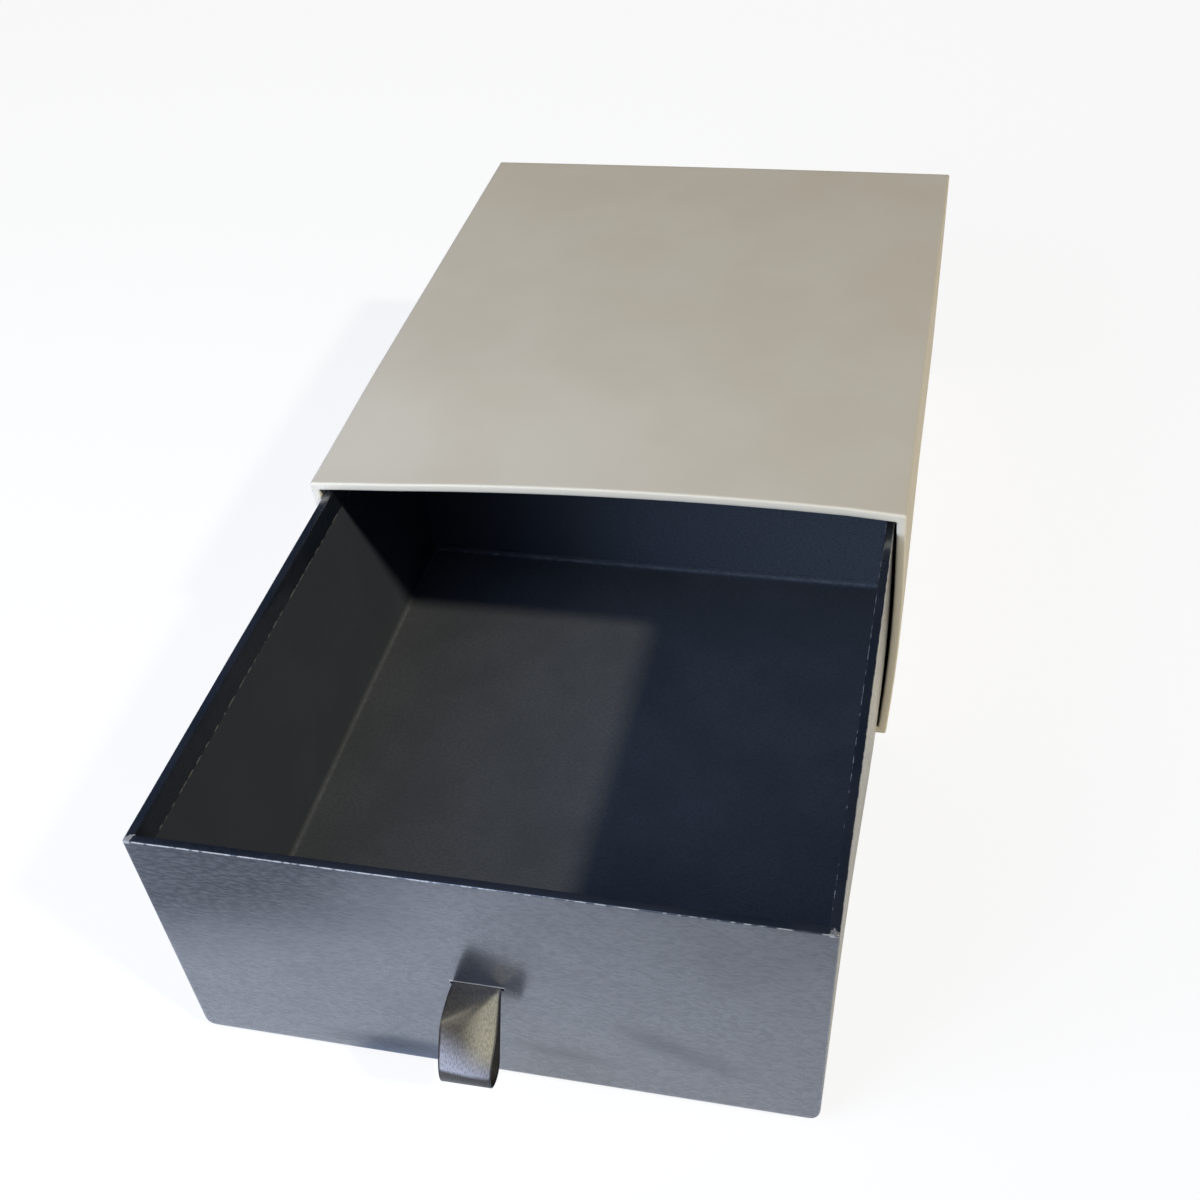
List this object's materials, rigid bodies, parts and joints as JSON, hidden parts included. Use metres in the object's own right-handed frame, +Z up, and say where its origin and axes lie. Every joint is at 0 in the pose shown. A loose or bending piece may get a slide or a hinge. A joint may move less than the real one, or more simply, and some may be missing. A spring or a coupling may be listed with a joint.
{
  "type": "sliding drawer gift box",
  "caption": "Rigid paper-wrapped sleeve, closed at the back, with a lined drawer that slides out on a ribbon loop pull.",
  "frame": {"origin": "centre of the sleeve's underside, on the surface that it stands on", "axes": "+Z up, +Y towards the sleeve's closed back, so the drawer opens towards -Y, +X to the right seen from the front"},
  "size_m": [0.21, 0.4481, 0.106],
  "materials": {
    "cover_paper": "smooth uncoated taupe paper",
    "sleeve_lining": "smooth uncoated taupe paper",
    "leatherette": "coated paper embossed with a fine grain, satin",
    "black_lining": "matt black paper",
    "greyboard": "raw recycled board",
    "stay_tape": "gummed kraft paper",
    "patch_paper": "gummed kraft paper",
    "ribbon": "woven satin ribbon"
  },
  "bodies": {
    "sleeve": {"sleeve_top_board": "greyboard", "sleeve_bottom_board": "greyboard", "sleeve_left_board": "greyboard", "sleeve_right_board": "greyboard", "sleeve_back_board": "greyboard", "sleeve_tape_left": "stay_tape", "sleeve_tape_right": "stay_tape", "sleeve_cover_paper": "cover_paper", "sleeve_base_paper": "cover_paper", "sleeve_back_paper": "cover_paper", "sleeve_lining": "sleeve_lining", "sleeve_back_lining": "sleeve_lining"},
    "drawer": {"drawer_base_board": "greyboard", "drawer_front_board": "greyboard", "drawer_back_board": "greyboard", "drawer_left_board": "greyboard", "drawer_right_board": "greyboard", "drawer_tape_front_left": "stay_tape", "drawer_tape_front_right": "stay_tape", "drawer_tape_back_left": "stay_tape", "drawer_tape_back_right": "stay_tape", "drawer_wrap": "leatherette", "drawer_base_paper": "leatherette", "drawer_wall_lining": "black_lining", "drawer_floor_lining": "black_lining", "ribbon_tails": "ribbon", "ribbon_patch": "patch_paper"},
    "pull": {"ribbon_pull_loop": "ribbon"}
  },
  "joints": [
    {"name": "drawer_slide", "type": "slide", "parent": "sleeve", "child": "drawer", "axis": [0, -1, 0], "range_m": [-0.17, 0.09]},
    {"name": "pull_swing", "type": "hinge", "parent": "drawer", "child": "pull", "pos_m": [-0.002, -0.2986, 0.04854], "axis": [-1, 0, 0], "range_deg": [-15, 90], "stiffness_Nm_per_rad": 0.002}
  ]
}
